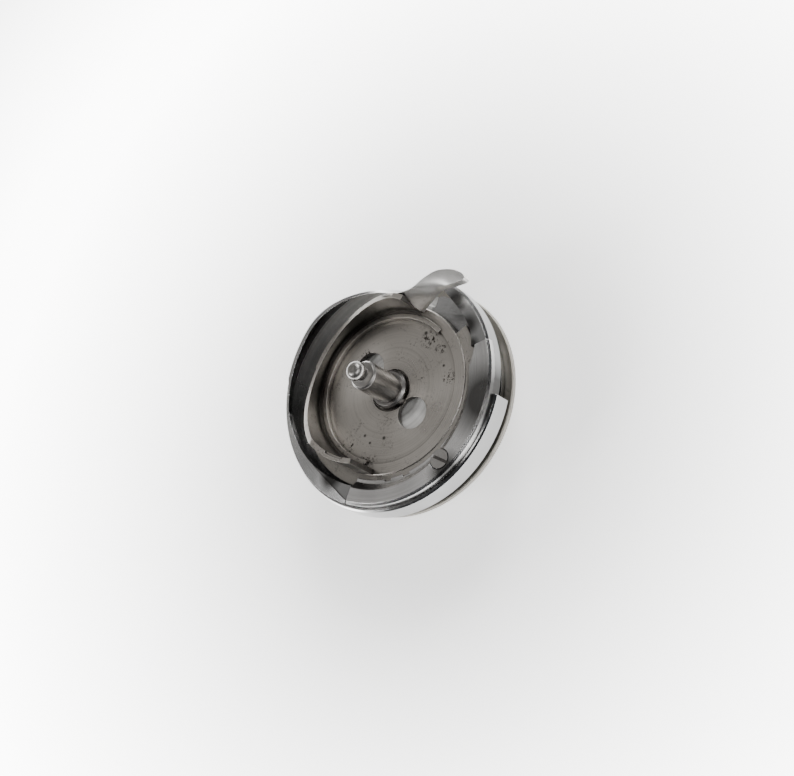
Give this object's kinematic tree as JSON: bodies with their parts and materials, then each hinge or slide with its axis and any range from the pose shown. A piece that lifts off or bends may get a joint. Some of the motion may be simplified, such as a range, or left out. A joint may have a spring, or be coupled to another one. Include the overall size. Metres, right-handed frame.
{
  "type": "rotary sewing hook with bobbin case base",
  "caption": "Rotary sewing hook with its bobbin-case base: a hub-mounted turning cup with beak and retaining ring round a floating base with stud, guard wall and position finger.",
  "frame": {"origin": "on the shaft axis, at the hub's rear face", "axes": "+Z along the shaft axis, towards the stud's tip; +X towards the middle of the retaining ring; +Y towards the position finger"},
  "size_m": [0.0394, 0.0412, 0.0263],
  "materials": {
    "hook_steel": "turned and polished hardened steel",
    "ring_steel": "circumferentially brushed face with a polished bevel",
    "band_steel": "mirror polished band",
    "flange_steel": "fine blasted, satin",
    "hub_steel": "turned, satin",
    "screw_steel": "fine turned, lightly oiled",
    "base_steel": "fine turned rings, light stains",
    "finger_steel": "formed sheet, satin",
    "stud_steel": "ground, polished tip",
    "wick_felt": "pressed oiled felt"
  },
  "bodies": {
    "hook": {"hook_body": "hook_steel", "retaining_ring": "ring_steel", "ring_screw": "screw_steel", "ring_dowels": "screw_steel", "guard_band": "band_steel", "guard_band_screws": "screw_steel", "rear_flange": "flange_steel", "flange_screws": "screw_steel", "hub_sleeve": "hub_steel", "hub_set_screws": "screw_steel", "oil_wick": "wick_felt", "oil_plug": "screw_steel"},
    "case_base": {"base_floor": "base_steel", "guard_wall": "base_steel", "position_finger": "finger_steel", "center_stud": "stud_steel", "stud_collar": "stud_steel", "stud_washer": "stud_steel"}
  },
  "joints": [
    {"name": "case_base_spin", "type": "hinge", "parent": "hook", "child": "case_base", "pos_m": [0, 0, 0], "axis": [0, 0, 1], "continuous": true}
  ]
}
